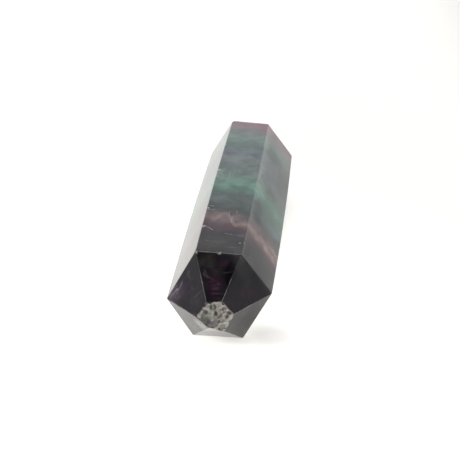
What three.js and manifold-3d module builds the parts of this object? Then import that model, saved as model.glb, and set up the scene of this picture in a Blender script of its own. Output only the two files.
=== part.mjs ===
// A double terminated fluorite point, which is one crystal.
// It is ground to a six-sided prism with a six-faced termination at each end, and lies on a prism face.
// X runs across the point, Y along it and Z up, all in millimetres.
// The near end looks along -Y. Its apex is knocked off, which leaves a low dome, rough with pits.

import * as THREE from 'three';
import { mergeVertices } from 'three/addons/utils/BufferGeometryUtils.js';
import Module from 'manifold-3d';

// Driving dimensions.
const PRISM_LENGTH = 55; // between the near and the far ring of corners
const AXIS_HEIGHT = 8.3; // of the middle of the near ring, above the face that the point lies on
const TAPER = 1.035; // the far ring's width over the near ring's
const BELLY = 0.28; // how far a long edge bows outward at its middle

// The two ends. plane is where the ring of corners lies along Y, and size is its width over the near
// ring's. apex is how far the six faces would meet beyond it. The dome's top is that far out too, and
// x and z off the axis.
const ENDS = {
  near: { plane: 0, size: 1, outward: -1, apex: 8.8, dome: { out: 7.1, x: 0.5, z: 0.4 } },
  far: { plane: PRISM_LENGTH, size: TAPER, outward: 1, apex: 9.2, dome: { out: 8.6, x: 0.1, z: 0 } },
};

// The six corners of the near ring, clockwise from the upper left one as seen from the near end.
// For each end, shift is how far the corner lies past its ring's plane, along +Y, and edge is how much
// of the way to the apex its edge runs before it meets the dome.
const CORNERS = [
  { x: -3.8, z: 16.45, near: { shift: 0.7, edge: 0.69 }, far: { shift: 0, edge: 0.88 } },
  { x: 3.78, z: 16.3, near: { shift: 0.7, edge: 0.66 }, far: { shift: -0.65, edge: 0.91 } },
  { x: 8.97, z: 9.05, near: { shift: 0.6, edge: 0.64 }, far: { shift: -0.3, edge: 0.9 } },
  { x: 4.18, z: 0, near: { shift: -0.25, edge: 0.61 }, far: { shift: 0, edge: 0.92 } },
  { x: -4.55, z: 0, near: { shift: -0.35, edge: 0.92 }, far: { shift: 0, edge: 0.9 } },
  { x: -8.62, z: 8.05, near: { shift: -1.4, edge: 0.67 }, far: { shift: 1.4, edge: 0.87 } },
];
const UPPER_LEFT = 0;
const UPPER_RIGHT = 1;
const RIGHT = 2;
const LOWER_RIGHT = 3;
const LEFT = 5;

// Pits in the domes. turn is how far round it a pit lies, counted in corners from the upper left one,
// and out is how far it lies from the middle, as a share of the way to the rim.
const PITS = [
  { end: 'near', turn: 0.15, out: 0.74, radius: 0.85 },
  { end: 'near', turn: 0.2, out: 0.24, radius: 0.85 },
  { end: 'near', turn: 0.42, out: 0.66, radius: 0.7 },
  { end: 'near', turn: 0.7, out: 0.55, radius: 0.8 },
  { end: 'near', turn: 0.95, out: 0.9, radius: 0.85 },
  { end: 'near', turn: 1.2, out: 0.56, radius: 0.8 },
  { end: 'near', turn: 1.4, out: 0.95, radius: 0.6 },
  { end: 'near', turn: 1.46, out: 0.62, radius: 0.75 },
  { end: 'near', turn: 1.6, out: 0.22, radius: 0.8 },
  { end: 'near', turn: 1.75, out: 0.86, radius: 0.8 },
  { end: 'near', turn: 2, out: 0.35, radius: 0.7 },
  { end: 'near', turn: 2.1, out: 0.68, radius: 1 },
  { end: 'near', turn: 2.5, out: 0.56, radius: 0.85 },
  { end: 'near', turn: 2.9, out: 0.8, radius: 0.85 },
  { end: 'near', turn: 3.1, out: 0.35, radius: 0.7 },
  { end: 'near', turn: 3.45, out: 0.46, radius: 0.85 },
  { end: 'near', turn: 4.15, out: 0.52, radius: 0.9 },
  { end: 'near', turn: 4.4, out: 0.78, radius: 0.7 },
  { end: 'near', turn: 4.9, out: 0.5, radius: 0.9 },
  { end: 'near', turn: 5.3, out: 0.88, radius: 0.8 },
  { end: 'near', turn: 5.55, out: 0.74, radius: 0.95 },
  { end: 'near', turn: 5.86, out: 1, radius: 0.8 },
  { end: 'far', turn: 0.5, out: 0.5, radius: 0.6 },
  { end: 'far', turn: 2.3, out: 0.6, radius: 0.55 },
  { end: 'far', turn: 4.2, out: 0.7, radius: 0.6 },
];
const PIT_TILT = 0.3; // how much a pit is struck from above, for each unit along the point
const PIT_SEAT = 0.74; // how far a pit's centre stands out from the dome, as a share of its radius

// Chips knocked out of the two rings. from and to are the corners at the edge's ends, and at is the
// share of the way between them.
const CHIPS = [
  { end: 'near', from: UPPER_LEFT, to: UPPER_RIGHT, at: 0, radius: 0.55 },
  { end: 'near', from: UPPER_LEFT, to: UPPER_RIGHT, at: 0.53, radius: 0.4 },
  { end: 'near', from: RIGHT, to: LOWER_RIGHT, at: 0, radius: 0.36 },
  { end: 'far', from: UPPER_LEFT, to: UPPER_RIGHT, at: 0, radius: 0.5 },
  { end: 'far', from: RIGHT, to: LOWER_RIGHT, at: 0.6, radius: 0.45 },
  { end: 'far', from: LEFT, to: UPPER_LEFT, at: 0, radius: 0.4 },
];
const CHIP_TILT = 0.5; // how much a chip is struck along the point, for each unit straight out
const CHIP_SEAT = 0.62; // how far a chip's centre stands out from the edge, as a share of its radius

// How finely the surface is cut into flat triangles.
const STEPS_ACROSS_FACE = 3;
const STEPS_ALONG_PRISM = 12;
const PIT_ROUNDNESS = 1; // how often each of a pit's twenty faces is split in four

// A point on an end's axis, so far out from its ring of corners.
function onAxis(end, out) {
  const { plane, size, outward } = ENDS[end];
  return new THREE.Vector3(0, plane + outward * out, AXIS_HEIGHT * size);
}

function domeTop(end) {
  const { out, x, z } = ENDS[end].dome;
  return onAxis(end, out).add(new THREE.Vector3(x, 0, z));
}

function ringCorner(corner, end) {
  const { plane, size } = ENDS[end];
  return new THREE.Vector3(corner.x * size, plane + corner[end].shift, corner.z * size);
}

// Where a corner's edge meets the dome.
function rimCorner(corner, end) {
  return ringCorner(corner, end).lerp(onAxis(end, ENDS[end].apex), corner[end].edge);
}

// The way a long edge bows: straight out from the axis, and only sideways on the face it lies on.
function bowDirection(corner) {
  const height = corner.z > 0 ? corner.z - AXIS_HEIGHT : 0;
  return new THREE.Vector3(corner.x, 0, height).normalize();
}

// The points of one corner's line, from the near rim over both rings to the far rim.
function cornerLine(corner) {
  const near = ringCorner(corner, 'near');
  const far = ringCorner(corner, 'far');
  const bow = bowDirection(corner);
  const line = [rimCorner(corner, 'near')];
  for (let i = 0; i <= STEPS_ALONG_PRISM; i++) {
    const t = i / STEPS_ALONG_PRISM;
    line.push(near.clone().lerp(far, t).addScaledVector(bow, BELLY * 4 * t * (1 - t)));
  }
  line.push(rimCorner(corner, 'far'));
  return line;
}

// The closed skin of the point: rows of vertices round it, and the top of a dome at each end.
function crystalSkin() {
  const lines = CORNERS.map(cornerLine);
  const rows = lines[0].length;
  const columns = CORNERS.length * STEPS_ACROSS_FACE;
  const positions = [];
  const triangles = [];
  const addVertex = (point) => positions.push(point.x, point.y, point.z);

  addVertex(domeTop('near'));
  for (let row = 0; row < rows; row++) {
    for (let column = 0; column < columns; column++) {
      const side = Math.floor(column / STEPS_ACROSS_FACE);
      const across = (column % STEPS_ACROSS_FACE) / STEPS_ACROSS_FACE;
      const nextSide = (side + 1) % CORNERS.length;
      addVertex(lines[side][row].clone().lerp(lines[nextSide][row], across));
    }
  }
  addVertex(domeTop('far'));

  const vertexAt = (row, column) => 1 + row * columns + (column % columns);
  const lastVertex = 1 + rows * columns;
  for (let column = 0; column < columns; column++) {
    triangles.push(0, vertexAt(0, column + 1), vertexAt(0, column));
    for (let row = 0; row + 1 < rows; row++) {
      const a = vertexAt(row, column);
      const b = vertexAt(row, column + 1);
      const c = vertexAt(row + 1, column + 1);
      const d = vertexAt(row + 1, column);
      triangles.push(a, b, c, a, c, d);
    }
    triangles.push(lastVertex, vertexAt(rows - 1, column), vertexAt(rows - 1, column + 1));
  }
  const geometry = new THREE.BufferGeometry();
  geometry.setAttribute('position', new THREE.Float32BufferAttribute(positions, 3));
  geometry.setIndex(triangles);
  return geometry;
}

// A round lump that takes a pit out of a dome. Each is turned another way, so no two look alike.
function pitCutter(pit, number) {
  const side = Math.floor(pit.turn);
  const corner = rimCorner(CORNERS[side], pit.end);
  const nextCorner = rimCorner(CORNERS[(side + 1) % CORNERS.length], pit.end);
  const seat = domeTop(pit.end).lerp(corner.lerp(nextCorner, pit.turn - side), pit.out);
  const struckFrom = new THREE.Vector3(0, ENDS[pit.end].outward, PIT_TILT).normalize();
  seat.addScaledVector(struckFrom, pit.radius * PIT_SEAT);
  const lump = new THREE.IcosahedronGeometry(pit.radius, PIT_ROUNDNESS);
  lump.rotateX(number);
  lump.rotateY(2 * number);
  lump.translate(seat.x, seat.y, seat.z);
  return lump;
}

// A lump with twenty flat faces that takes a chip out of a ring's edge or corner.
function chipCutter(chip) {
  const seat = ringCorner(CORNERS[chip.from], chip.end);
  seat.lerp(ringCorner(CORNERS[chip.to], chip.end), chip.at);
  const struckFrom = seat.clone().sub(onAxis(chip.end, 0)).setY(0).normalize();
  struckFrom.setY(ENDS[chip.end].outward * CHIP_TILT).normalize();
  seat.addScaledVector(struckFrom, chip.radius * CHIP_SEAT);
  const lump = new THREE.IcosahedronGeometry(chip.radius, 0);
  lump.translate(seat.x, seat.y, seat.z);
  return lump;
}

const wasm = await Module();
wasm.setup();

// A three.js geometry as a solid that can be cut.
function toSolid(geometry) {
  const bare = geometry.clone();
  bare.deleteAttribute('normal');
  bare.deleteAttribute('uv');
  const merged = mergeVertices(bare);
  return new wasm.Manifold(new wasm.Mesh({
    numProp: 3,
    vertProperties: new Float32Array(merged.attributes.position.array),
    triVerts: new Uint32Array(merged.index.array),
  }));
}

// A cut solid as a three.js geometry.
function toGeometry(solid) {
  const mesh = solid.getMesh();
  const geometry = new THREE.BufferGeometry();
  geometry.setAttribute('position', new THREE.Float32BufferAttribute(mesh.vertProperties, 3));
  geometry.setIndex([...mesh.triVerts]);
  return geometry;
}

let solid = toSolid(crystalSkin());
for (const cutter of [...PITS.map(pitCutter), ...CHIPS.map(chipCutter)]) {
  solid = solid.subtract(toSolid(cutter));
}
const crystal = toGeometry(solid);

// The origin is under the middle of the point, on the surface that it lies on.
crystal.computeBoundingBox();
const middle = crystal.boundingBox.getCenter(new THREE.Vector3());
crystal.translate(-middle.x, -middle.y, 0);
crystal.computeVertexNormals();

const fluorite = new THREE.MeshStandardMaterial({ color: 0x6f7c7a, roughness: 0.12, metalness: 0 });
const crystalPoint = new THREE.Mesh(crystal, fluorite);
crystalPoint.name = 'fluorite_point';

const point = new THREE.Group();
point.add(crystalPoint);

export default point;
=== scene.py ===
import math

import bpy
import numpy as np
from mathutils import Matrix, Vector


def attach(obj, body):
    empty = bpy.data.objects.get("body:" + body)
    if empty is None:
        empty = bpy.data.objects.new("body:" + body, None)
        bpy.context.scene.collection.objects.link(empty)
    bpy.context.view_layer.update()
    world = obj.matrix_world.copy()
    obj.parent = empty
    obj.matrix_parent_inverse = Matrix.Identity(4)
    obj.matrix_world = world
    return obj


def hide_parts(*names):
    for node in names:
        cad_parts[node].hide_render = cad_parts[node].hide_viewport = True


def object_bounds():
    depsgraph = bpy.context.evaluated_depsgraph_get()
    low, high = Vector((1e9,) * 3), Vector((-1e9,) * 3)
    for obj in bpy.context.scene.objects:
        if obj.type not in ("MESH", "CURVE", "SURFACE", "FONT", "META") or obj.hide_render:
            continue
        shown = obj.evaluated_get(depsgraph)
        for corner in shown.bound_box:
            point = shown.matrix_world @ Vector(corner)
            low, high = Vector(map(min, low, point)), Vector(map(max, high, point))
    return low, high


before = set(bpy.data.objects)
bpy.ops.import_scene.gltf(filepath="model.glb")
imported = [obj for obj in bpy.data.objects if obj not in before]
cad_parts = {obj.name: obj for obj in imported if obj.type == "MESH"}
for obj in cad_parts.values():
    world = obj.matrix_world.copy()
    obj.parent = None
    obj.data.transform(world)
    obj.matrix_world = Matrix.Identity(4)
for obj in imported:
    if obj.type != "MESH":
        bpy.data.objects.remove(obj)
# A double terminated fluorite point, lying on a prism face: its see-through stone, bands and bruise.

MM = 0.001
cad_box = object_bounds()

# ---------------------------------------------------------------- the crystal's driving sizes, in mm
PRISM_LENGTH = 55.0
AXIS_HEIGHT = 8.3
TAPER = 1.035
BELLY = 0.28
NEAR_APEX, FAR_APEX = 8.8, 9.2
NEAR_DOME = np.array([0.5, -7.1, AXIS_HEIGHT + 0.4])
FAR_DOME = np.array([0.1, PRISM_LENGTH + 8.6, AXIS_HEIGHT * TAPER])

# Corners of the near ring, clockwise from the upper left: across, up, how far each lies past the near
# and the far ring's plane, and how much of its edge is left on the near and the far termination.
CORNERS = np.array([
    (-3.8, 16.45, 0.7, 0.0, 0.69, 0.88),
    (3.78, 16.3, 0.7, -0.65, 0.66, 0.91),
    (8.97, 9.05, 0.6, -0.3, 0.64, 0.90),
    (4.18, 0.0, -0.25, 0.0, 0.61, 0.92),
    (-4.55, 0.0, -0.35, 0.0, 0.92, 0.90),
    (-8.62, 8.05, -1.4, 1.4, 0.67, 0.87),
])
SIDES = len(CORNERS)

# Pits in the two domes: end, how far round in corners, how far out to the rim, radius.
PITS = [
    ("near", 0.15, 0.74, 0.85), ("near", 0.20, 0.24, 0.85), ("near", 0.42, 0.66, 0.70),
    ("near", 0.70, 0.55, 0.80), ("near", 0.95, 0.90, 0.85), ("near", 1.20, 0.56, 0.80),
    ("near", 1.40, 0.95, 0.60), ("near", 1.46, 0.62, 0.75), ("near", 1.60, 0.22, 0.80),
    ("near", 1.75, 0.86, 0.80), ("near", 2.00, 0.35, 0.70), ("near", 2.10, 0.68, 1.00),
    ("near", 2.50, 0.56, 0.85), ("near", 2.90, 0.80, 0.85), ("near", 3.10, 0.35, 0.70),
    ("near", 3.45, 0.46, 0.85), ("near", 4.15, 0.52, 0.90), ("near", 4.40, 0.78, 0.70),
    ("near", 4.90, 0.50, 0.90), ("near", 5.30, 0.88, 0.80), ("near", 5.55, 0.74, 0.95),
    ("near", 5.86, 1.00, 0.80),
    ("far", 0.5, 0.5, 0.60), ("far", 2.3, 0.6, 0.55), ("far", 4.2, 0.7, 0.60),
]
PIT_TILT = 0.3  # how much a pit is struck from above, for each unit along the crystal
PIT_SEAT = 0.74  # how far the middle of its ball stands out, as a share of its radius

# Chips in the two rings: end, corner, next corner, share of the way between them, radius.
CHIPS = [
    ("near", 0, 1, 0.0, 0.55), ("near", 0, 1, 0.53, 0.40), ("near", 2, 3, 0.0, 0.36),
    ("far", 0, 1, 0.0, 0.50), ("far", 2, 3, 0.6, 0.45), ("far", 5, 0, 0.0, 0.40),
]
CHIP_TILT = 0.5  # how much a chip is struck along the crystal, for each unit straight out
CHIP_SEAT = 0.62  # how far the middle of its ball stands out, as a share of its radius
CHIP_WHITE_DEPTH = 0.2  # chips are at their whitest from this depth on

EDGE_WEAR = 0.13  # half the width over which an edge is rubbed round
WORN_STEPS = np.array([0.0, 0.35, 0.7, 1.0])  # grid places from an edge outward, as shares of its wear

# The mesh is a grid, with one knot at each corner line round it and at each station along it.
SIDE_WIDTH = 8.8  # nominal, of one side
NEAR_DOME_RUN = 3.2
NEAR_SLOPE_RUN = 8.2
FAR_SLOPE_RUN = 10.4
FAR_DOME_RUN = 1.1
STEPS_ROUND = 26
STEPS_ALONG = (28, 34, 190, 24, 9)
EDGE_PLACES = 13  # on a long edge, as many as the solid has

round_knots = SIDE_WIDTH * np.arange(SIDES + 1)
along_runs = [NEAR_DOME_RUN, NEAR_SLOPE_RUN, PRISM_LENGTH, FAR_SLOPE_RUN, FAR_DOME_RUN]
along_knots = np.cumsum([0.0] + along_runs)


# ---------------------------------------------------------------- the crystal's surface
def corner_stations():
    """The six corner lines at six stations: near dome top, near rim, near ring, far ring, far rim, far
    dome top. A rim corner is the ring corner plus the edge's share of the way from it to the apex."""
    across, up, near_shift, far_shift, near_edge, far_edge = CORNERS.T
    near = np.stack([across, near_shift, up], axis=1)
    far = np.stack([across * TAPER, PRISM_LENGTH + far_shift, up * TAPER], axis=1)
    near_apex = np.array([0.0, -NEAR_APEX, AXIS_HEIGHT])
    far_apex = np.array([0.0, PRISM_LENGTH + FAR_APEX, AXIS_HEIGHT * TAPER])
    near_rim = near + near_edge[:, None] * (near_apex - near)
    far_rim = far + far_edge[:, None] * (far_apex - far)
    tops = [np.tile(top, (SIDES, 1)) for top in (NEAR_DOME, FAR_DOME)]
    return np.stack([tops[0], near_rim, near, far, far_rim, tops[1]])


def bow_directions():
    """The way each long edge bows: straight out from the axis, and only sideways along the base."""
    across, up = CORNERS[:, 0], CORNERS[:, 1]
    out = np.stack([across, np.zeros(SIDES), np.where(up > 0, up - AXIS_HEIGHT, 0.0)], axis=1)
    return out / np.linalg.norm(out, axis=1, keepdims=True)


def blend_weights(at, knots, periodic):
    """Weights of each knot at each place of a polyline whose corners are rubbed round.

    A share s of the way from knot j to knot j+1 the weights are 1-s and s. Within EDGE_WEAR = w of a
    knot, at distance d, the line is averaged over a window 2w wide, which adds (w-d)^2 / 4w times the
    change of slope.
    """
    count = len(knots) - 1 if periodic else len(knots)
    lengths = np.diff(knots)
    cell = np.clip(np.searchsorted(knots, at, side="right") - 1, 0, len(lengths) - 1)
    share = (at - knots[cell]) / lengths[cell]
    rows = np.arange(len(at))
    weights = np.zeros((len(at), count))
    np.add.at(weights, (rows, cell % count), 1 - share)
    np.add.at(weights, (rows, (cell + 1) % count), share)
    for knot in range(len(knots)):
        if not periodic and knot in (0, len(knots) - 1):
            continue
        before, after = lengths[knot - 1], lengths[knot % len(lengths)]
        near = np.clip(EDGE_WEAR - np.abs(at - knots[knot]), 0, None) ** 2 / (4 * EDGE_WEAR)
        weights[:, (knot - 1) % count] += near / before
        weights[:, (knot + 1) % count] += near / after
        weights[:, knot % count] -= near * (1 / before + 1 / after)
    return weights


def steps_between(start, end, count):
    """Evenly spaced places from start up to end, but without end itself, and with three more close to
    each of the two for the worn edge."""
    close = EDGE_WEAR * WORN_STEPS
    inner = np.linspace(start + EDGE_WEAR, end - EDGE_WEAR, count + 1)[1:-1]
    return np.concatenate([start + close, inner, end - close[:0:-1]])


def scoop(points, centre, outward, radius):
    """Moves the points that lie inside a ball along -outward to the ball's far side:
    along = -sqrt(radius^2 - across^2), where along and across are measured from its centre."""
    reach = points - centre
    along = reach @ outward
    reach_squared = (reach ** 2).sum(axis=1)
    across_squared = reach_squared - along ** 2
    inside = reach_squared < radius ** 2
    far_side = -np.sqrt(np.clip(radius ** 2 - across_squared, 0, None))
    points[inside] += ((far_side - along)[:, None] * outward)[inside]


def unit(vector):
    """The vector divided by its length."""
    return vector / np.linalg.norm(vector)


def bow_at(share):
    """How far a long edge bows at a share t of its length: BELLY * 4t(1 - t)."""
    return BELLY * 4 * share * (1 - share)


def crystal_grid():
    """The skin as a function of the way round u and the way along v:
    P(u, v) = sum of corner[j, i] * along[v, j] * round[u, i], plus the bow."""
    round_at = np.concatenate([
        steps_between(a, b, STEPS_ROUND) for a, b in zip(round_knots[:-1], round_knots[1:])
    ])
    along_at = np.concatenate([
        steps_between(a, b, n) for a, b, n in zip(along_knots[:-1], along_knots[1:], STEPS_ALONG)
    ])
    along_at = along_at[1:]  # the first is the near dome's top, a single point
    round_w = blend_weights(round_at, round_knots, periodic=True)
    along_w = blend_weights(along_at, along_knots, periodic=False)
    points = np.einsum("vj,jik,ui->vuk", along_w, corner_stations(), round_w)
    share = np.clip((along_at - along_knots[2]) / PRISM_LENGTH, 0, 1)
    points += bow_at(share)[:, None, None] * (round_w @ bow_directions())[None]
    return points, round_at, along_at


def pit_ball(end, turn, out, radius, stations):
    """Centre and outward direction of the ball that takes a pit out of a dome:
    centre = top + out * (rim - top) + outward * radius * PIT_SEAT."""
    rim, top = (stations[1], NEAR_DOME) if end == "near" else (stations[4], FAR_DOME)
    side = int(turn) % SIDES
    share = turn - int(turn)
    at_rim = rim[side] + (rim[(side + 1) % SIDES] - rim[side]) * share
    outward = unit(np.array([0.0, -1.0 if end == "near" else 1.0, PIT_TILT]))
    return top + (at_rim - top) * out + outward * radius * PIT_SEAT, outward


def chip_ball(end, corner, following, at, radius, stations):
    """Centre and outward direction of the ball that takes a chip out of a ring:
    centre = the place on the ring + outward * radius * CHIP_SEAT."""
    ring = stations[2 if end == "near" else 3]
    seat = ring[corner] + (ring[following] - ring[corner]) * at
    height = AXIS_HEIGHT * (1 if end == "near" else TAPER)
    out = unit(np.array([seat[0], 0.0, seat[2] - height]))
    out[1] = -CHIP_TILT if end == "near" else CHIP_TILT
    outward = unit(out)
    return seat + outward * radius * CHIP_SEAT, outward


def knock_pieces_out(points, stations):
    """Scoops the pits and the chips out of the points, and returns how white each point's chip is:
    its depth over CHIP_WHITE_DEPTH, and at most one."""
    for end, turn, out, radius in PITS:
        centre, outward = pit_ball(end, turn, out, radius, stations)
        scoop(points, centre, outward, radius)
    white = np.zeros(len(points))
    for end, corner, following, at, radius in CHIPS:
        centre, outward = chip_ball(end, corner, following, at, radius, stations)
        before = points.copy()
        scoop(points, centre, outward, radius)
        depth = np.linalg.norm(points - before, axis=1)
        white = np.maximum(white, np.clip(depth / CHIP_WHITE_DEPTH, 0, 1))
    return white


def skin_faces(rows, columns):
    """Each face's corners in one list, and how many each has: four between neighbouring rows, and
    three to the near and the far dome's top, which are the two points after the rows."""
    index = np.arange(rows * columns).reshape(rows, columns)
    right = np.roll(index, -1, axis=1)
    quads = np.stack([index[:-1], right[:-1], right[1:], index[1:]], axis=-1).reshape(-1, 4)
    near_top = rows * columns
    far_top = near_top + 1
    near_fan = np.stack([np.full(columns, near_top), right[0], index[0]], axis=1)
    far_fan = np.stack([np.full(columns, far_top), index[-1], right[-1]], axis=1)
    corners = np.concatenate([quads.ravel(), near_fan.ravel(), far_fan.ravel()])
    counts = np.concatenate([np.full(len(quads), 4), np.full(2 * columns, 3)])
    return corners, counts


def shift_into_frame(stations):
    """The move that puts the long edges' bowed lines in the middle of the CAD box across, and the
    far dome's top at its far end."""
    share = np.linspace(0, 1, EDGE_PLACES)[:, None, None]
    near, far = stations[2], stations[3]
    lines = near + (far - near) * share + bow_at(share) * bow_directions()
    across = lines[..., 0]
    return np.array([
        (cad_box[0].x + cad_box[1].x) / 2 / MM - (across.min() + across.max()) / 2,
        cad_box[1].y / MM - FAR_DOME[1],
        0.0,
    ])


def wear_distances(rows, round_at, along_at):
    """For each point of the rows, how far it lies from the nearest edge, and how far it lies outside
    the domes, which is below nothing inside one. The way round is scaled by the row's real width over
    SIDE_WIDTH."""
    along = np.repeat(along_at, rows.shape[1])
    from_corner = np.abs((round_at + SIDE_WIDTH / 2) % SIDE_WIDTH - SIDE_WIDTH / 2)
    width = np.linalg.norm(np.roll(rows, -1, axis=1) - rows, axis=2).sum(axis=1) / SIDES
    from_long_edge = (from_corner[None] * (width / SIDE_WIDTH)[:, None]).ravel()
    from_ring = np.abs(along[:, None] - along_knots[1:5][None]).min(axis=1)
    outside_domes = np.minimum(along - along_knots[1], along_knots[4] - along)
    return np.minimum(from_long_edge, from_ring), outside_domes


def mesh_from(name, points, corners, counts):
    """A closed mesh from arrays: each face starts where the counts before it add up to."""
    starts = np.concatenate([[0], np.cumsum(counts)[:-1]])
    mesh = bpy.data.meshes.new(name)
    mesh.vertices.add(len(points))
    mesh.vertices.foreach_set("co", points.ravel())
    mesh.loops.add(len(corners))
    mesh.loops.foreach_set("vertex_index", corners.astype(np.int32))
    mesh.polygons.add(len(counts))
    mesh.polygons.foreach_set("loop_start", starts.astype(np.int32))
    mesh.polygons.foreach_set("loop_total", counts.astype(np.int32))
    mesh.update(calc_edges=True)
    mesh.validate()
    return mesh


def build_crystal():
    """The crystal as one closed mesh: rows round it, closed by a point at each dome's top. Also the
    move that puts it in the frame."""
    rows, round_at, along_at = crystal_grid()
    rows = rows[:-1]  # the last all but meets the far dome's top, which closes the skin in its place
    along_at = along_at[:-1]
    stations = corner_stations()
    points = np.vstack([rows.reshape(-1, 3), NEAR_DOME, FAR_DOME])
    white = knock_pieces_out(points, stations)
    move = shift_into_frame(stations)
    mesh = mesh_from("fluorite_crystal", (points + move) * MM, *skin_faces(*rows.shape[:2]))

    edge, outside_domes = wear_distances(rows, round_at, along_at)
    # each attribute's name, its values at the rows' points, and its value at the two tops
    attributes = [("edge", edge, 1.0), ("dome", outside_domes, -1.0), ("chip", white[:-2], 0.0)]
    for name, values, at_tops in attributes:
        attribute = mesh.attributes.new(name, "FLOAT", "POINT")
        attribute.data.foreach_set("value", np.concatenate([values, [at_tops] * 2]).astype(np.float32))
    made = bpy.data.objects.new("fluorite_crystal", mesh)
    bpy.context.scene.collection.objects.link(made)
    return made, move


crystal, shift = build_crystal()
NEAR_RING_Y = shift[1] * MM


# ---------------------------------------------------------------- the stone
# Lengths and places in the stone are in mm: across, along from the near ring, and up from the axis.

# Bands across the crystal, from the near tip to the far one: the band, how far along its middle
# lies, and its colour.
BANDS = [
    ("purple-black tip", -9.0, (0.030, 0.017, 0.028)),
    ("smoky", 0.0, (0.030, 0.026, 0.032)),
    ("smoky", 3.0, (0.078, 0.076, 0.082)),
    ("smoky", 6.4, (0.066, 0.056, 0.068)),
    ("purple under the vein", 9.0, (0.150, 0.085, 0.115)),
    ("rosy brown", 11.5, (0.275, 0.195, 0.205)),
    ("rosy brown", 13.4, (0.215, 0.165, 0.175)),
    ("dark teal", 15.2, (0.098, 0.106, 0.116)),
    ("teal", 18.2, (0.150, 0.196, 0.198)),
    ("dark teal", 20.6, (0.155, 0.195, 0.20)),
    ("green edge", 22.6, (0.16, 0.29, 0.25)),
    ("green", 25.2, (0.24, 0.46, 0.37)),
    ("green fading", 28.2, (0.25, 0.38, 0.335)),
    ("blue-grey", 33.0, (0.23, 0.285, 0.30)),
    ("pale veil", 35.2, (0.29, 0.345, 0.345)),
    ("violet-grey", 38.4, (0.26, 0.32, 0.36)),
    ("teal", 43.0, (0.19, 0.295, 0.28)),
    ("pale green", 46.8, (0.28, 0.41, 0.37)),
    ("grey", 50.2, (0.30, 0.32, 0.33)),
    ("pink", 53.2, (0.46, 0.28, 0.325)),
    ("pink tip", 62.0, (0.50, 0.36, 0.41)),
]

# The salmon vein: where it lies along the crystal, and how it wanders on its way across.
VEIN_ALONG = 9.9
VEIN_WAVES = [(-3.6, 5.0, 2.0), (-0.4, 2.1, 3.0)]  # middle, reach and height of each wave
VEIN_COLOUR = (0.54, 0.37, 0.345)

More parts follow.
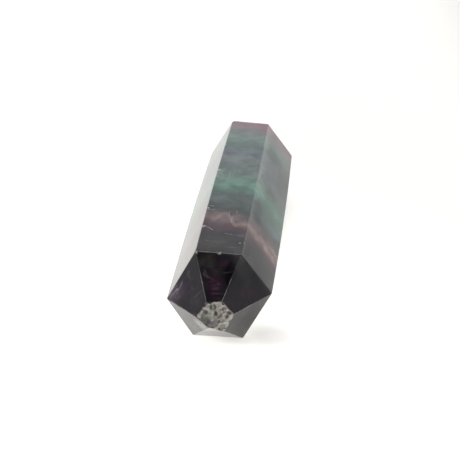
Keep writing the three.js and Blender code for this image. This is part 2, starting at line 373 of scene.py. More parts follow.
# Clouds of a colour of their own, and some of painted shade, each over those before it: the cloud,
# its middle, reach, colour and strength.
CLOUDS = [
    ("olive under the top edge", (-1.6, -0.6, 7.2), (1.9, 2.0, 1.6), (0.085, 0.080, 0.068), 0.8),
    ("olive under the top edge", (-0.3, -1.8, 6.2), (1.3, 1.5, 1.4), (0.055, 0.060, 0.050), 0.7),
    ("maroon in the near facet", (-0.5, -3.6, 4.6), (1.6, 3.4, 3.0), (0.062, 0.020, 0.048), 0.9),
    ("maroon at the top edge", (0.9, -0.8, 7.0), (0.9, 1.4, 1.0), (0.070, 0.030, 0.060), 0.8),
    ("purple on the left", (-5.2, -2.4, 2.4), (3.2, 3.0, 3.8), (0.024, 0.008, 0.034), 0.8),
    ("violet at the left corner", (-7.8, -1.3, 0.6), (1.9, 2.6, 2.6), (0.26, 0.18, 0.25), 0.8),
    ("violet at the left corner", (-6.2, -1.7, 2.0), (1.5, 2.2, 2.4), (0.13, 0.09, 0.13), 0.6),
    ("smoke in the right facet", (4.9, -0.6, 5.2), (2.2, 2.0, 2.6), (0.060, 0.060, 0.064), 0.8),
    # Painted shade: these two near-black clouds darken the low facets of the near end, over the shaded
    # floor under the crystal.
    ("painted shade low on the right", (5.4, -1.8, -3.4), (4.8, 3.4, 4.4), (0.012, 0.003, 0.001), 0.9),
    ("painted shade low on the left", (-6.4, -0.8, -4.0), (3.0, 2.6, 3.4), (0.012, 0.004, 0.001), 0.9),
    ("frosted under the tip", (-1.9, -6.2, -2.5), (3.2, 3.0, 2.2), (0.52, 0.47, 0.43), 0.9),
    ("frosted lower left", (-4.0, -3.2, -4.4), (2.2, 2.2, 2.0), (0.25, 0.22, 0.19), 0.8),
    ("black right of the maroon", (1.9, -2.4, 6.0), (1.3, 4.0, 4.0), (0.008, 0.006, 0.009), 0.9),
    ("violet by the bruise", (-2.9, -4.8, 1.6), (1.4, 1.6, 1.2), (0.075, 0.045, 0.075), 0.6),
    ("maroon on the right", (5.1, -2.1, 2.4), (1.6, 2.0, 1.4), (0.060, 0.024, 0.042), 0.8),
    ("brown by the bruise", (3.2, -4.6, 1.7), (1.6, 2.0, 1.2), (0.050, 0.026, 0.036), 0.8),
    ("green by the bruise", (4.6, -3.4, -0.8), (1.6, 2.0, 0.9), (0.060, 0.085, 0.070), 0.8),
    ("purple left of the vein", (-3.6, 10.9, 7.6), (2.0, 1.7, 3.0), (0.175, 0.10, 0.145), 0.9),
    ("purple under the vein", (1.0, 8.9, 7.6), (1.5, 1.1, 3.0), (0.20, 0.08, 0.12), 0.8),
    ("pale smoke", (-1.9, 19.2, 8.0), (1.7, 1.5, 3.0), (0.22, 0.26, 0.27), 0.6),
    ("shadow under the green", (1.6, 20.2, 8.0), (2.6, 1.8, 4.0), (0.13, 0.135, 0.145), 0.7),
    ("green core", (0.3, 25.4, 8.0), (2.4, 2.2, 3.0), (0.26, 0.52, 0.37), 0.7),
    ("dim green down the right", (8.1, 26.0, 2.8), (3.3, 8.5, 5.5), (0.18, 0.29, 0.24), 0.85),
    ("grey on the right", (6.6, 28.4, 4.6), (2.8, 4.6, 5.0), (0.170, 0.200, 0.185), 0.85),
    ("smoke by the right edge", (4.4, 3.0, 7.4), (1.5, 6.0, 2.4), (0.018, 0.016, 0.018), 0.9),
    ("smoke behind the vein", (4.5, 18.4, 7.3), (1.6, 6.6, 2.3), (0.026, 0.060, 0.066), 0.85),
    ("green by the right edge", (4.6, 25.0, 7.3), (1.3, 3.0, 2.2), (0.21, 0.44, 0.35), 0.9),
    ("green on the right", (6.7, 23.2, 4.2), (2.6, 4.2, 3.4), (0.15, 0.35, 0.25), 0.75),
    ("green on the right", (8.6, 21.4, 1.4), (2.3, 4.2, 3.2), (0.17, 0.34, 0.27), 0.7),
    ("teal low on the right", (7.2, 18.0, 3.5), (2.6, 3.8, 3.6), (0.20, 0.32, 0.30), 0.7),
    ("grey low on the right", (8.8, 29.8, 1.0), (1.6, 3.2, 2.2), (0.21, 0.25, 0.225), 0.8),
    ("smoke before the vein", (7.6, 6.2, 2.9), (1.5, 2.8, 1.8), (0.13, 0.11, 0.12), 0.7),
    ("blue on the right", (8.6, 17.6, 1.8), (1.6, 2.4, 2.4), (0.24, 0.36, 0.39), 0.6),
    ("pale blue by the left edge", (-3.7, 29.2, 8.4), (0.9, 2.8, 1.6), (0.44, 0.55, 0.52), 0.65),
    ("violet on the top", (-3.0, 38.6, 8.3), (1.8, 2.0, 3.0), (0.17, 0.18, 0.24), 0.6),
    ("violet on the top", (2.9, 37.4, 8.2), (1.6, 2.6, 3.0), (0.16, 0.18, 0.24), 0.7),
    ("blue by the right edge", (4.4, 31.6, 8.0), (1.0, 4.0, 2.0), (0.40, 0.46, 0.48), 0.7),
    ("mauve on the right", (8.4, 35.0, 2.2), (3.0, 6.0, 5.6), (0.112, 0.136, 0.146), 0.8),
    ("shadow far right", (8.3, 40.0, 2.0), (2.6, 6.5, 3.8), (0.060, 0.075, 0.072), 0.85),
    ("green far right", (6.2, 43.6, 4.6), (2.8, 4.4, 4.8), (0.046, 0.136, 0.108), 0.8),
    ("dull green far right", (8.6, 46.0, 1.6), (2.6, 4.4, 4.4), (0.12, 0.16, 0.12), 0.7),
    ("pink far right", (7.6, 54.0, 3.2), (3.6, 3.6, 4.4), (0.33, 0.20, 0.235), 0.9),
    ("smoke at the right corner", (8.7, 4.6, 1.1), (1.6, 3.6, 2.2), (0.09, 0.08, 0.072), 0.6),
]

# Streaks inside the stone: start, end, half width, colour and strength.
STREAKS = [
    ((-7.9, -1.55, 0.1), (-6.9, -1.45, 1.9), 0.32, (0.62, 0.50, 0.60), 0.75),
    ((-7.1, -1.95, 0.5), (-6.5, -1.5, 2.0), 0.26, (0.56, 0.45, 0.55), 0.7),
    ((-6.8, -1.8, 1.2), (-5.9, -1.1, 3.3), 0.28, (0.40, 0.31, 0.40), 0.65),
    ((-6.0, -2.75, 0.8), (-5.5, -2.2, 2.2), 0.30, (0.20, 0.15, 0.20), 0.6),
    ((-8.2, -1.2, 0.6), (-7.5, -0.95, 2.2), 0.24, (0.50, 0.40, 0.49), 0.6),
    ((-5.5, -1.0, 3.5), (-4.9, -0.8, 5.2), 0.30, (0.16, 0.14, 0.16), 0.5),
    ((-3.3, -4.9, 1.7), (-2.7, -4.8, 2.3), 0.30, (0.13, 0.11, 0.13), 0.5),
    ((4.2, 29.0, 8.2), (4.4, 33.5, 8.4), 0.50, (0.44, 0.50, 0.50), 0.5),
    ((4.4, 20.6, 7.8), (4.5, 26.6, 7.9), 0.80, (0.26, 0.50, 0.40), 0.5),
    ((4.1, 14.0, 7.9), (4.3, 11.3, 7.6), 0.40, (0.44, 0.36, 0.34), 0.5),
    ((7.5, 27.0, 3.1), (7.6, 22.4, 2.9), 1.10, (0.28, 0.50, 0.37), 0.25),
    ((8.9, 23.9, 1.0), (8.8, 19.2, 1.0), 1.10, (0.28, 0.48, 0.42), 0.25),
    ((5.0, 39.8, 6.8), (4.7, 31.6, 7.2), 0.85, (0.42, 0.46, 0.52), 0.22),
    ((5.9, 11.4, 5.2), (7.0, 10.4, 3.6), 0.90, (0.60, 0.46, 0.42), 0.5),
    ((7.9, 12.0, 2.3), (8.9, 10.4, 0.8), 0.85, (0.62, 0.51, 0.48), 0.5),
]

# Fine scratches on the top face: start and end (across, along), half width and strength.
SCRATCHES = [
    ((-3.7, 9.1), (-2.1, 7.7), 0.13, 0.7),
    ((0.1, 6.9), (1.5, 6.6), 0.11, 0.5),
    ((2.4, 6.3), (3.4, 6.4), 0.12, 0.5),
    ((-3.9, 16.0), (-3.0, 15.9), 0.14, 0.6),
    ((-3.8, 14.6), (-2.6, 14.8), 0.16, 0.6),
    ((0.8, 12.6), (0.7, 10.6), 0.11, 0.5),
    ((0.0, 14.4), (0.1, 12.8), 0.12, 0.45),
    ((1.3, 14.8), (1.4, 13.8), 0.11, 0.4),
    ((3.3, 8.3), (3.2, 11.6), 0.09, 0.2),
    ((-3.1, 4.3), (-0.6, 3.8), 0.12, 0.2),
    ((0.6, 2.6), (3.2, 2.6), 0.14, 0.2),
    ((-1.7, 26.9), (-1.6, 29.6), 0.16, 0.45),
    ((-1.1, 28.0), (-0.8, 30.4), 0.12, 0.3),
]

# The bruise, seen along the crystal (across, up): pits darkened with painted shade, by middle, reach
# and strength; ridges paled with a painted highlight, by start, end, half width and strength; and
# notches where the stone is whole, by middle and reach.
BRUISE_PITS = [
    ((-0.61, 1.99), (0.34, 0.54), 0.80),
    ((0.10, 2.01), (0.38, 0.54), 0.85),
    ((-1.50, 0.98), (0.80, 0.50), 0.65),
    ((1.20, 1.50), (0.66, 0.46), 0.75),
    ((0.26, 0.93), (0.44, 0.42), 0.95),
    ((1.00, 0.56), (0.54, 0.50), 0.75),
    ((2.25, 0.60), (0.56, 0.52), 0.80),
    ((1.97, 0.02), (0.56, 0.50), 0.80),
    ((0.60, -0.68), (0.40, 0.32), 0.75),
    ((-1.58, 2.20), (0.38, 0.32), 0.70),
    ((-1.65, -0.10), (0.70, 0.50), 0.40),
    ((-0.95, -0.30), (0.55, 0.40), 0.55),
    ((1.60, 1.00), (0.40, 0.36), 0.55),
]
BRUISE_RIDGES = [
    ((-2.55, -0.05), (-1.75, 1.9), 0.28, 0.8),
    ((-1.0, 2.4), (0.05, 2.55), 0.32, 0.6),
    ((0.1, 2.5), (0.8, 2.15), 0.24, 0.5),
    ((1.05, 2.0), (1.85, 2.25), 0.28, 0.85),
    ((1.75, 1.0), (2.7, 1.3), 0.28, 0.95),
    ((-0.2, 1.45), (-0.3, 0.45), 0.22, 0.5),
    ((-1.0, 1.7), (-0.95, 0.9), 0.22, 0.5),
    ((0.85, -1.2), (2.1, -1.45), 0.26, 0.7),
    ((-1.55, 1.55), (-0.9, 1.5), 0.26, 0.5),
    ((-0.25, 0.12), (-0.2, 0.05), 0.22, 0.8),
]
BRUISE_NOTCHES = [
    ((2.2, 1.9), (0.60, 0.50)),
    ((1.15, 2.66), (0.45, 0.30)),
    ((3.0, 0.75), (0.45, 0.40)),
]

NICK_COLOUR = (0.74, 0.72, 0.70)
# Nicks along the edges: middle, reach and strength.
NICKS = [
    ((-4.2, 42.3, 8.7), 0.45, 0.7),
    ((-4.0, 30.3, 8.6), 0.75, 0.7),
    ((-3.9, 27.6, 8.5), 0.6, 0.6),
    ((-3.9, 15.1, 8.4), 0.45, 0.6),
    ((-3.85, 8.7, 8.4), 0.5, 0.7),
    ((3.0, 4.1, 8.1), 0.3, 0.5),
    ((3.8, 4.4, 8.1), 0.35, 0.6),
    ((6.4, 0.0, 4.2), 0.3, 0.6),
    ((4.3, 33.0, 8.4), 0.5, 0.4),
    ((-3.8, 0.35, 8.1), 0.36, 1.0),
    ((4.2, 30.1, 8.4), 0.4, 0.4),
]

# Noises, by their waves per mm along each axis, and how far some are moved so that no two are alike.
SLOW_WAVES = (0.17, 0.08, 0.17)
QUICK_WAVES, QUICK_MOVE = (0.45, 0.30, 0.45), (3.0, 1.0, 7.0)
MOTTLE_WAVES = (0.36, 0.40, 0.36)
SHEET_WAVES, SHEET_MOVE = (0.16, 0.45, 0.16), (11.0, 2.0, 5.0)
# How far noise moves the bands along the crystal, and the number that brings them back to the middle.
SLOW_WANDER, QUICK_WANDER, WANDER_MIDDLE = 3.0, 1.2, -2.1
# How far noise pushes clouds, streaks, the vein and the bruise about.
CLOUD_PUSH, STREAK_PUSH, VEIN_PUSH, BRUISE_PUSH = 3.0, 0.6, 1.2, 0.7
# The share of a cloud's reach that has its full strength, and how that strength follows the quick
# noise. Here and below, such a row is a low and a high noise, and then what it gives for each.
CLOUD_HEART, CLOUD_UNEVEN = 0.15, (0.35, 0.60, 0.75, 1.1)
# The top face's right edge, across, with a reach, and how much nearer the bands lie there.
RIGHT_EDGE, RIGHT_EDGE_NEARER = (3.7, 2.4), 1.5
# The left side, across, from where it is full to where it ends, and how much farther off the bands
# lie there.
LEFT_SIDE, LEFT_SIDE_FARTHER = (-5.5, -3.0), 1.2
# Where the right face begins, across, and where the top face does, up: from none of it to all of it.
RIGHT_FACE = (3.9, 5.2)
TOP_FACE = (7.2, 7.6)
# Where the vein turns down the right face, across, and its reach and strength before and after that.
VEIN_TURN, VEIN_REACH, VEIN_STRENGTH = (3.6, 5.6), (1.4, 2.35), (1.0, 1.25)
# Where the vein comes out of the left edge, across, and its strength there and after it.
VEIN_START, VEIN_START_STRENGTH = (-3.7, -2.0), (0.35, 1.0)
# How the vein's strength follows the quick noise.
VEIN_UNEVEN = (0.35, 0.6, 0.4, 0.75)
# How strong the mottle is on either side of a stretch along the crystal, and how dark the painted shade
# on the right face is.
MOTTLE_STRETCH, MOTTLE_STRENGTH = (26.0, 54.0), (1.0, 0.4)
RIGHT_SHADE_STRETCH, RIGHT_SHADE_STRENGTH = (22.0, 42.0), (0.0, 0.30)
# How the mottle darkens and lightens the stone.
MOTTLE_SHADES = (0.25, 0.75, 0.76, 1.24)
# The veils' thickness in the noise, how strong they are, and how much less on the right face.
VEIL_THICKNESS, VEIL_STRENGTH, VEIL_LOSS_ON_RIGHT = 0.016, 0.17, 0.12
# The bruise's rim: how far noise pushes it out, how far inside the dome's that starts, and how softly
# it ends.
RIM_RAGGED, RIM_INSET, RIM_SOFT = 1.9, 1.0, (-0.04, 0.10)
# Where the near end gives way to the far one, along, and how much of the bruise shows at the far one.
NEAR_TO_FAR, FAR_BRUISE_SHOWN = (0.0, 20.0), 0.4
# The violet patch in the bruise: its middle and reach, and its strength.
VIOLET_PATCH, VIOLET_STRENGTH = ((-0.15, 0.0, -0.35), (0.75, 1.0, 0.62)), 0.85
# How far from an edge the rub is full and where it ends, and how its strength follows a noise.
RUBBED_REACH, RUBBED_UNEVEN = (0.03, 0.12), (0.35, 0.65, 0.12, 0.55)
# Where the near tip gives way to the rest, along, and how strongly the edges are rubbed in each.
NEAR_TIP, NEAR_TIP_RUBBED = (-3.0, -1.4), (1.0, 0.3)

# Black, for the painted shade on the right face.
RIGHT_SHADE_COLOUR = (0.0, 0.0, 0.0)
VEIL_COLOUR = (0.55, 0.52, 0.50)
BRUISE_GREENISH = (0.24, 0.25, 0.215)
BRUISE_DUSTY = (0.39, 0.36, 0.335)
# The ridges' pale colour is a painted highlight, and the pits' dark colour is painted shade.
RIDGE_HIGHLIGHT = (0.56, 0.52, 0.49)
PIT_SHADE = (0.030, 0.030, 0.022)
BRUISE_VIOLET = (0.125, 0.075, 0.135)

FLUORITE_IOR = 1.434
POLISHED_ROUGHNESS, MOTTLE_ROUGHNESS, SPOILED_ROUGHNESS = 0.04, 0.08, 0.5
BUMP_HEIGHT = 0.12
WHOLE_BUMP, SPOILED_BUMP, PIT_SINK = 0.012, 0.9, 0.8
CLOUDINESS = 0.5  # the share of light that the stone itself scatters
MURK_COLOUR = (0.50, 0.58, 0.58)
MURK_DENSITY = 190.0  # per metre


def opaque(colour):
    """The colour with full alpha, as a colour socket takes it."""
    return (*colour, 1.0)


NODE_WIDE, NODE_DEEP, NODE_ROWS = 180, 140, 5  # how the nodes are laid out


class Patterns:
    """Makes the nodes of one material, or of the world, and links them as they are made."""

    def __init__(self, owner):
        owner.use_nodes = True
        self.tree = owner.node_tree
        self.tree.nodes.clear()
        self.column = 0

    def add(self, kind, **settings):
        """A new node with its settings, placed to the right of the one before."""
        made = self.tree.nodes.new(kind)
        made.location = (NODE_WIDE * self.column, -NODE_DEEP * (self.column % NODE_ROWS))
        self.column += 1
        for name, value in settings.items():
            setattr(made, name, value)
        return made

    def feed(self, made, name, value):
        """Sets a socket to a number or a colour, or links it to another node's output."""
        socket = made.inputs[name]
        if isinstance(value, bpy.types.NodeSocket):
            self.tree.links.new(value, socket)
        else:
            socket.default_value = value

    def math(self, operation, first, second=0.0, third=0.0, clamp=False):
        """One sum on up to three numbers."""
        made = self.add("ShaderNodeMath", operation=operation, use_clamp=clamp)
        for place, value in enumerate((first, second, third)):
            self.feed(made, place, value)
        return made.outputs[0]

    def ramped(self, value, low, high, out_low=0.0, out_high=1.0, smooth=True):
        """Takes low to out_low and high to out_high, with an S curve or a straight line between."""
        made = self.add("ShaderNodeMapRange", clamp=not smooth)
        made.interpolation_type = "SMOOTHSTEP" if smooth else "LINEAR"
        for name, given in (("Value", value), ("From Min", low), ("From Max", high),
                            ("To Min", out_low), ("To Max", out_high)):
            self.feed(made, name, given)
        return made.outputs[0]

    def mixed(self, share, first, second, blend="MIX"):
        """The first colour, turned by the share into the second or into their product."""
        made = self.add("ShaderNodeMix", data_type="RGBA", blend_type=blend, clamp_factor=True)
        self.feed(made, 0, share)
        self.feed(made, 6, first)
        self.feed(made, 7, second)
        return made.outputs[2]

    def stretched(self, vector, scale, offset=(0, 0, 0)):
        """The vector times the scale, plus the offset."""
        made = self.add("ShaderNodeMapping")
        self.feed(made, "Vector", vector)
        made.inputs["Scale"].default_value = scale
        made.inputs["Location"].default_value = offset
        return made.outputs[0]

    def noise(self, vector, scale=1.0, detail=2.0, roughness=0.5, distortion=0.0):
        """Soft noise from none to one."""
        made = self.add("ShaderNodeTexNoise")
        for name, given in (("Vector", vector), ("Scale", scale), ("Detail", detail),
                            ("Roughness", roughness), ("Distortion", distortion)):
            self.feed(made, name, given)
        return made.outputs["Fac"]

    def pushes(self, place, scale, detail):
        """Noise in all three directions, evenly about nothing, to push places about by."""
        made = self.add("ShaderNodeTexNoise")
        for name, given in (("Vector", place), ("Scale", scale), ("Detail", detail)):
            self.feed(made, name, given)
        return self.vector("SUBTRACT", made.outputs["Color"], (0.5, 0.5, 0.5))

    def attribute(self, name):
        """A number that the mesh holds for each of its points."""
        return self.add("ShaderNodeAttribute", attribute_name=name).outputs["Fac"]

    def axes(self, vector):
        """The vector's X, Y and Z."""
        made = self.add("ShaderNodeSeparateXYZ")
        self.feed(made, 0, vector)
        return [made.outputs[axis] for axis in "XYZ"]

    def vector(self, operation, first, second=None):
        """A vector operation; for SCALE the second is a number."""
        made = self.add("ShaderNodeVectorMath", operation=operation)
        self.feed(made, 0, first)
        if second is not None:
            self.feed(made, "Scale" if operation == "SCALE" else 1, second)
        return made.outputs["Value" if operation in ("LENGTH", "DOT_PRODUCT", "DISTANCE") else "Vector"]

    def wave(self, value, middle, reach):
        """One where value is at middle, falling smoothly to nothing at reach from it."""
        away = self.math("ABSOLUTE", self.math("SUBTRACT", value, middle))
        return self.ramped(away, 0.0, reach, 1.0, 0.0)

    def blot(self, place, middle, reach, heart):
        """An ellipsoid about middle: one out to the share heart of its reach, and falling smoothly
        from there to nothing at its reach."""
        inverse = tuple(1.0 / size for size in reach)
        from_middle = self.vector("SUBTRACT", place, middle)
        away = self.vector("LENGTH", self.vector("MULTIPLY", from_middle, inverse))
        return self.ramped(away, heart, 1.0, 1.0, 0.0)

    def stroke(self, place, start, end, half_width):
        """One along the line from start to end, falling to nothing half_width away from it. The nearest
        place on the line is start + t * (end - start), t = (place - start).(end - start) / length^2."""
        run = Vector(end) - Vector(start)
        from_start = self.vector("SUBTRACT", place, start)
        reached = self.vector("DOT_PRODUCT", from_start, tuple(run / run.length_squared))
        reached = self.math("MINIMUM", self.math("MAXIMUM", reached, 0.0), 1.0)
        nearest = self.vector("SCALE", tuple(run), reached)
        away = self.vector("LENGTH", self.vector("SUBTRACT", from_start, nearest))
        return self.ramped(away, 0.0, half_width, 1.0, 0.0)

    def strongest(self, shapes, least=0.0):
        """The greatest of several shapes, each times its strength, and of the least."""
        for shape, strength in shapes:
            least = self.math("MAXIMUM", self.math("MULTIPLY", shape, strength), least)
        return least


def wandering_bands(p, along, across, slow, quick):
    """The bands' colour. Noise moves them along the crystal, and they lie nearer at the top face's
    right edge and farther off on its left."""
    wander = p.math("MULTIPLY_ADD", quick, QUICK_WANDER, WANDER_MIDDLE)
    wander = p.math("MULTIPLY_ADD", slow, SLOW_WANDER, wander)
    wander = p.math("MULTIPLY_ADD", p.wave(across, *RIGHT_EDGE), RIGHT_EDGE_NEARER, wander)
    wander = p.math("MULTIPLY_ADD", p.ramped(across, *LEFT_SIDE, 1.0, 0.0), -LEFT_SIDE_FARTHER, wander)
    warped = p.math("ADD", along, wander)
    first, last = BANDS[0][1], BANDS[-1][1]
    ramp = p.add("ShaderNodeValToRGB")
    p.feed(ramp, 0, p.ramped(warped, first, last, smooth=False))
    elements = ramp.color_ramp.elements
    while len(elements) < len(BANDS):
        elements.new(0.5)
    for element, (_, where, colour) in zip(elements, BANDS):
        element.position = (where - first) / (last - first)
        element.color = opaque(colour)
    return ramp.outputs["Color"]


def with_clouds(p, place, quick, stone):
    """The clouds and streaks over the bands, pushed about by noise so that none has a round outline."""
    shaken = p.pushes(place, 0.5, 1.6)
    pushed = p.vector("ADD", place, p.vector("SCALE", shaken, CLOUD_PUSH))
    wavering = p.vector("ADD", place, p.vector("SCALE", shaken, STREAK_PUSH))
    uneven = p.ramped(quick, *CLOUD_UNEVEN)
    for _, middle, reach, colour, strength in CLOUDS:
        share = p.math("MULTIPLY", p.blot(pushed, middle, reach, CLOUD_HEART), strength)
        share = p.math("MULTIPLY", share, uneven)
        stone = p.mixed(share, stone, opaque(colour))
    for start, end, half_width, colour, strength in STREAKS:
        share = p.math("MULTIPLY", p.stroke(wavering, start, end, half_width), strength)
        stone = p.mixed(share, stone, opaque(colour))
    return stone


def with_vein(p, along, across, quick, stone):
    """The salmon vein over the stone: wider and stronger on the right face, faint at the left edge."""
    vein = VEIN_ALONG
    for middle, reach, height in VEIN_WAVES:
        vein = p.math("MULTIPLY_ADD", p.wave(across, middle, reach), height, vein)
    pushed = p.math("MULTIPLY_ADD", quick, VEIN_PUSH, along)
    off_vein = p.math("SUBTRACT", pushed, p.math("ADD", vein, VEIN_PUSH / 2))
    vein_reach = p.ramped(across, *VEIN_TURN, *VEIN_REACH)
    strand = p.math("MULTIPLY", p.wave(off_vein, 0.0, vein_reach), p.ramped(quick, *VEIN_UNEVEN))
    strand = p.math("MULTIPLY", strand, p.ramped(across, *VEIN_TURN, *VEIN_STRENGTH))
    strand = p.math("MULTIPLY", strand, p.ramped(across, *VEIN_START, *VEIN_START_STRENGTH))
    return p.mixed(strand, stone, opaque(VEIN_COLOUR))


def banded(p, place, along, across):
    """The stone's colour, with bands, clouds, the vein, mottle, veils and painted shade on the right
    face; and the mottle itself.
    """
    slow = p.noise(p.stretched(place, SLOW_WAVES))
    quick = p.noise(p.stretched(place, QUICK_WAVES, QUICK_MOVE), detail=1.4)
    stone = wandering_bands(p, along, across, slow, quick)
    stone = with_clouds(p, place, quick, stone)
    stone = with_vein(p, along, across, quick, stone)

    mottle = p.noise(p.stretched(place, MOTTLE_WAVES), detail=1.7, distortion=0.2)
    on_right = p.ramped(across, *RIGHT_FACE)
    calmer = p.ramped(along, *MOTTLE_STRETCH, *MOTTLE_STRENGTH)
    stone = p.mixed(calmer, stone, p.ramped(mottle, *MOTTLE_SHADES), blend="MULTIPLY")
    # painted shade: the right face darkens towards the far end, as if the light fell from the left
    shaded_right = p.math("MULTIPLY", on_right, p.ramped(along, *RIGHT_SHADE_STRETCH, *RIGHT_SHADE_STRENGTH))
    stone = p.mixed(shaded_right, stone, opaque(RIGHT_SHADE_COLOUR))

    # veils: pale, hair-thin sheets that lie nearly along the bands
    sheet = p.noise(p.stretched(place, SHEET_WAVES, SHEET_MOVE), detail=3.0, distortion=0.8)
    patchy = p.ramped(p.noise(place, 0.35), 0.42, 0.62)
    shown = p.math("MULTIPLY_ADD", on_right, -VEIL_LOSS_ON_RIGHT, VEIL_STRENGTH)
    veil = p.math("MULTIPLY", p.math("MULTIPLY", p.wave(sheet, 0.5, VEIL_THICKNESS), patchy), shown)
    return p.mixed(veil, stone, opaque(VEIL_COLOUR)), mottle


def scratched(p, place, up):
    """How far the surface is scratched or nicked, from none to one."""
    level = p.vector("MULTIPLY", place, (1.0, 1.0, 0.0))
    on_top = p.ramped(up, *TOP_FACE)
    worn = p.strongest(
        (p.stroke(level, (*start, 0.0), (*end, 0.0), half_width), strength)
        for start, end, half_width, strength in SCRATCHES
    )
    worn = p.math("MULTIPLY", worn, on_top)
    worn = p.strongest(
        ((p.blot(place, middle, (reach,) * 3, 0.3), strength) for middle, reach, strength in NICKS),
        least=worn,
    )
    grit = p.noise(place, 3.0, 3.0, 0.6)
    return p.math("MULTIPLY", worn, p.ramped(grit, 0.3, 0.55, 0.3, 1.0))


def bruised(p, place, along, stone):
    """The bruised tips: where they are, how deep the near one's pits are, and the colour there, with
    painted shade in the pits and painted highlights on the ridges.
    """
    at_near = p.ramped(along, *NEAR_TO_FAR, 1.0, 0.0)
    outside_domes = p.attribute("dome")
    ragged = p.noise(place, 1.3, 4.0, 0.65)
    inside = p.math("MULTIPLY_ADD", ragged, RIM_RAGGED, p.math("SUBTRACT", -RIM_INSET, outside_domes))
    bruise = p.ramped(inside, *RIM_SOFT)
    pushed = p.vector("ADD", place, p.vector("SCALE", p.pushes(place, 1.5, 3.0), BRUISE_PUSH))
    facing = p.vector("MULTIPLY", pushed, (1.0, 0.0, 1.0))
    for (across, up), (wide, high) in BRUISE_NOTCHES:
        notch = p.blot(facing, (across, 0.0, up), (wide, 1.0, high), 0.5)
        bruise = p.math("MULTIPLY", bruise, p.math("SUBTRACT", 1.0, notch))

    tone = p.noise(place, 0.42, 3.0, 0.55)
    fine = p.noise(place, 2.4, 3.0, 0.6)
    skin = p.mixed(p.ramped(tone, 0.40, 0.60), opaque(BRUISE_GREENISH), opaque(BRUISE_DUSTY))
    skin = p.mixed(1.0, skin, p.ramped(fine, 0.3, 0.7, 0.75, 1.25), blend="MULTIPLY")
    # painted highlight: the bruise's ridges paled
    lit_ridges = p.strongest(
        (p.stroke(facing, (start[0], 0.0, start[1]), (end[0], 0.0, end[1]), half_width), strength)
        for start, end, half_width, strength in BRUISE_RIDGES
    )
    skin = p.mixed(lit_ridges, skin, opaque(RIDGE_HIGHLIGHT))
    # painted shade in the bruise's pits, which the bump also sinks
    shaded_hollow = p.strongest(
        (p.blot(facing, (across, 0.0, up), (wide, 1.0, high), 0.35), strength)
        for (across, up), (wide, high), strength in BRUISE_PITS
    )
    shaded_hollow = p.math("MULTIPLY", shaded_hollow, at_near)
    skin = p.mixed(shaded_hollow, skin, opaque(PIT_SHADE))
    violet = p.blot(facing, *VIOLET_PATCH, 0.3)
    violet = p.math("MULTIPLY", violet, p.math("MULTIPLY", at_near, VIOLET_STRENGTH))
    skin = p.mixed(violet, skin, opaque(BRUISE_VIOLET))
    shown = p.math("MULTIPLY_ADD", at_near, 1.0 - FAR_BRUISE_SHOWN, FAR_BRUISE_SHOWN)
    shown = p.math("MULTIPLY", bruise, shown)
    return bruise, shaded_hollow, p.mixed(shown, stone, skin)


def worn_away(p, place, along, up, bruise):
    """How far the surface is rubbed at an edge, chipped, nicked or scratched, from none to one."""
    edge = p.attribute("edge")
    chip = p.attribute("chip")
    rubbed = p.ramped(edge, *RUBBED_REACH, 1.0, 0.0)
    rubbed = p.math("MULTIPLY", rubbed, p.ramped(p.noise(place, 0.5, 4.0, 0.7), *RUBBED_UNEVEN))
    rubbed = p.math("MULTIPLY", rubbed, p.ramped(along, *NEAR_TIP, *NEAR_TIP_RUBBED))
    rubbed = p.math("MULTIPLY", rubbed, p.math("SUBTRACT", 1.0, bruise))
    return p.math("MAXIMUM", rubbed, p.math("MAXIMUM", chip, scratched(p, place, up)), clamp=True)


def stone_material():
    """See-through, banded fluorite: polished where it is whole, and rough, white and clouded where it
    is bruised or worn. Roughness = the greater of POLISHED_ROUGHNESS + MOTTLE_ROUGHNESS * mottle and
    SPOILED_ROUGHNESS * spoiled."""
    material = bpy.data.materials.new("banded_fluorite")
    p = Patterns(material)
    coords = p.add("ShaderNodeTexCoord").outputs["Object"]
    place = p.stretched(coords, (1 / MM,) * 3, (0.0, -shift[1], -AXIS_HEIGHT))
    across, along, up = p.axes(place)
    stone, mottle = banded(p, place, along, across)
    bruise, shaded_hollow, stone = bruised(p, place, along, stone)
    worn = worn_away(p, place, along, up, bruise)
    stone = p.mixed(worn, stone, opaque(NICK_COLOUR))

    shader = p.add("ShaderNodeBsdfPrincipled")
    p.feed(shader, "Base Color", stone)
    spoiled = p.math("MAXIMUM", bruise, worn)
    polished = p.math("MULTIPLY_ADD", mottle, MOTTLE_ROUGHNESS, POLISHED_ROUGHNESS)
    rough = p.math("MAXIMUM", polished, p.math("MULTIPLY", spoiled, SPOILED_ROUGHNESS))
    p.feed(shader, "Roughness", rough)
    shader.inputs["IOR"].default_value = FLUORITE_IOR
    cloudy = p.math("MAXIMUM", spoiled, CLOUDINESS)
    p.feed(shader, "Transmission Weight", p.math("SUBTRACT", 1.0, cloudy))
    grain = p.noise(place, 3.0, 4.0, 0.65)
    bump = p.add("ShaderNodeBump")
    bump.inputs["Distance"].default_value = BUMP_HEIGHT * MM
    p.feed(bump, "Strength", p.math("MULTIPLY_ADD", spoiled, SPOILED_BUMP, WHOLE_BUMP))
    p.feed(bump, "Height", p.math("SUBTRACT", grain, p.math("MULTIPLY", shaded_hollow, PIT_SINK)))
    p.feed(shader, "Normal", bump.outputs[0])
    murk = p.add("ShaderNodeVolumeAbsorption")
    murk.inputs["Color"].default_value = opaque(MURK_COLOUR)
    murk.inputs["Density"].default_value = MURK_DENSITY
    out = p.add("ShaderNodeOutputMaterial")
    p.feed(out, "Surface", shader.outputs[0])
    p.feed(out, "Volume", murk.outputs[0])
    return material


crystal.data.materials.append(stone_material())
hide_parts("fluorite_point")
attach(crystal, "root")


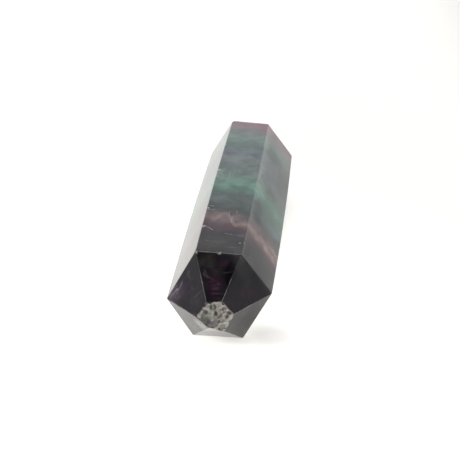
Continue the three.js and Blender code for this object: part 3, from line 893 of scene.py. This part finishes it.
# ---------------------------------------------------------------- floor, light and camera
FLOOR_GAP = 0.03 * MM  # keeps the floor just clear of the face the crystal lies on
FLOOR_HALF = 3.0
FLOOR_COLOUR = (0.68, 0.68, 0.67)
FLOOR_ROUGHNESS = 0.9
FLOOR_GLOW = (1.0, 0.972, 0.92)
# The brightest part of the floor: its middle, where it begins to dim, where it is dimmest, and the
# share that is left there.
POOL_MIDDLE = (-0.02, -0.035, 0.0)
POOL_INNER, POOL_OUTER, POOL_OUTER_GLOW = 0.015, 0.09, 0.5
# The floor's right side glows less: half the width over which that sets in, and the share that is
# left there.
RIGHT_SIDE_REACH, RIGHT_SIDE_GLOW = 0.015, 0.88
# The dimmer part of the floor to the right: where it begins, is full, is still full and ends.
DIM_FLOOR_X = (0.046, 0.088, 0.13, 0.20)
DIM_FLOOR_Y = (0.01, 0.04, 0.19, 0.26)
DIM_FLOOR_LOSS = 0.65
# Soft shade by the crystal: middle from the near ring and reach, in mm, and how much less light.
FLOOR_SHADE = [
    ((3.5, -0.4), (7.0, 2.4), 0.26),
    ((9.5, 1.0), (8.0, 5.0), 0.38),
    ((-15.0, 12.0), (9.0, 14.0), 0.24),
]
SHADE_HEART = 0.2  # the share of a shade's reach that has its full strength


def floor_material():
    """Pale and dull, with a glow that falls off away from the crystal, and less of it in the dim and
    shaded parts."""
    material = bpy.data.materials.new("pale_floor")
    p = Patterns(material)
    place = p.add("ShaderNodeTexCoord").outputs["Object"]
    x, y, _ = p.axes(place)
    from_pool = p.vector("DISTANCE", place, POOL_MIDDLE)
    pool = p.ramped(from_pool, POOL_INNER, POOL_OUTER, 1.0, POOL_OUTER_GLOW)
    glow = p.ramped(x, -RIGHT_SIDE_REACH, RIGHT_SIDE_REACH, 1.0, RIGHT_SIDE_GLOW)
    dim = DIM_FLOOR_LOSS
    for value, (begins, full, still_full, ends) in ((x, DIM_FLOOR_X), (y, DIM_FLOOR_Y)):
        dim = p.math("MULTIPLY", dim, p.ramped(value, begins, full))
        dim = p.math("MULTIPLY", dim, p.ramped(value, still_full, ends, 1.0, 0.0))
    glow = p.math("MULTIPLY", glow, p.math("SUBTRACT", 1.0, dim))
    shades = (
        ((x_mm * MM, NEAR_RING_Y + y_mm * MM, 0.0), (wide * MM, deep * MM, 1.0), strength)
        for (x_mm, y_mm), (wide, deep), strength in FLOOR_SHADE
    )
    shaded = p.strongest(
        (p.blot(place, middle, reach, SHADE_HEART), strength) for middle, reach, strength in shades
    )
    glow = p.math("MULTIPLY", glow, p.math("SUBTRACT", 1.0, shaded))
    shader = p.add("ShaderNodeBsdfPrincipled")
    shader.inputs["Base Color"].default_value = opaque(FLOOR_COLOUR)
    shader.inputs["Roughness"].default_value = FLOOR_ROUGHNESS
    shader.inputs["Emission Color"].default_value = opaque(FLOOR_GLOW)
    p.feed(shader, "Emission Strength", p.math("MULTIPLY", pool, glow))
    p.feed(p.add("ShaderNodeOutputMaterial"), "Surface", shader.outputs[0])
    return material


def add_floor():
    """A wide, flat floor, just under the crystal."""
    mesh = bpy.data.meshes.new("floor")
    signs = [(-1, -1), (1, -1), (1, 1), (-1, 1)]
    corners = [(x * FLOOR_HALF, y * FLOOR_HALF, -FLOOR_GAP) for x, y in signs]
    mesh.from_pydata(corners, [], [(0, 1, 2, 3)])
    floor = bpy.data.objects.new("floor", mesh)
    bpy.context.scene.collection.objects.link(floor)
    mesh.materials.append(floor_material())


# The white surroundings, by direction from the crystal: each part's middle, the cosines of the angles
# from it where the part ends and where it is full, and how bright it is there.
DARK_SIDE = ((-0.1, -0.45, 0.88), (0.6, 0.9), 0.06)
DIM_WALL = ((0.96, -0.23, 0.17), (0.80, 0.97), 0.68)
SOFTBOX = ((0.0, 0.32, 0.95), (0.88, 0.95), 3.0)


def add_world():
    """White surroundings: dark above the camera, a little dimmer on the right, and with a softbox
    overhead. Strength = dark side * dim wall + softbox."""
    world = bpy.data.worlds.new("studio")
    bpy.context.scene.world = world
    p = Patterns(world)
    towards = p.add("ShaderNodeTexCoord").outputs["Generated"]

    def part(where, elsewhere):
        """A part's brightness, and elsewhere's outside it."""
        direction, (ends, full), bright = where
        cosine = p.vector("DOT_PRODUCT", towards, Vector(direction).normalized())
        return p.ramped(cosine, ends, full, elsewhere, bright)

    walls = part(DARK_SIDE, 1.0)
    walls = p.math("MULTIPLY", walls, part(DIM_WALL, 1.0))
    softbox = part(SOFTBOX, 0.0)
    back = p.add("ShaderNodeBackground")
    p.feed(back, "Strength", p.math("ADD", walls, softbox))
    p.feed(p.add("ShaderNodeOutputWorld"), "Surface", back.outputs[0])


# The camera, by the way round and up from straight on to the near end, its roll and its distance from
# what it looks at. That is on the axis, so far along, and then moved right and up in the view, in mm.
CAMERA_ROUND, CAMERA_UP, CAMERA_ROLL = 7.006, 29.878, -0.44
CAMERA_DISTANCE = 167.18
AIM_ALONG = 27.4685
AIM_RIGHT, AIM_UP = -1.3265, -2.5216
SENSOR = 36.0
FOCAL_PIXELS, PICTURE_PIXELS = 853.36, 460  # focal length and picture width, in pixels
CLIP_START, CLIP_END = 0.005, 20


def add_camera():
    """A camera that looks down at the near end. Back = (sin a cos e, -cos a cos e, sin e), for the way
    round a and up e."""
    around, above, roll = (math.radians(angle) for angle in (CAMERA_ROUND, CAMERA_UP, CAMERA_ROLL))
    back = Vector((
        math.sin(around) * math.cos(above),
        -math.cos(around) * math.cos(above),
        math.sin(above),
    ))
    turn = back.to_track_quat("Z", "Y").to_matrix()
    level = turn @ Matrix.Rotation(roll, 3, "Z")
    right, up = level.col[0], level.col[1]
    aim = Vector((shift[0] * MM, NEAR_RING_Y + AIM_ALONG * MM, AXIS_HEIGHT * MM))
    aim += right * (AIM_RIGHT * MM) + up * (AIM_UP * MM)
    data = bpy.data.cameras.new("camera")
    data.lens = FOCAL_PIXELS / PICTURE_PIXELS * SENSOR
    data.sensor_width = SENSOR
    data.clip_start = CLIP_START
    data.clip_end = CLIP_END
    camera = bpy.data.objects.new("camera", data)
    bpy.context.scene.collection.objects.link(camera)
    camera.matrix_world = Matrix.Translation(aim + back * (CAMERA_DISTANCE * MM)) @ level.to_4x4()
    bpy.context.scene.camera = camera


add_floor()
add_world()
add_camera()
bpy.context.scene.view_settings.view_transform = "Standard"
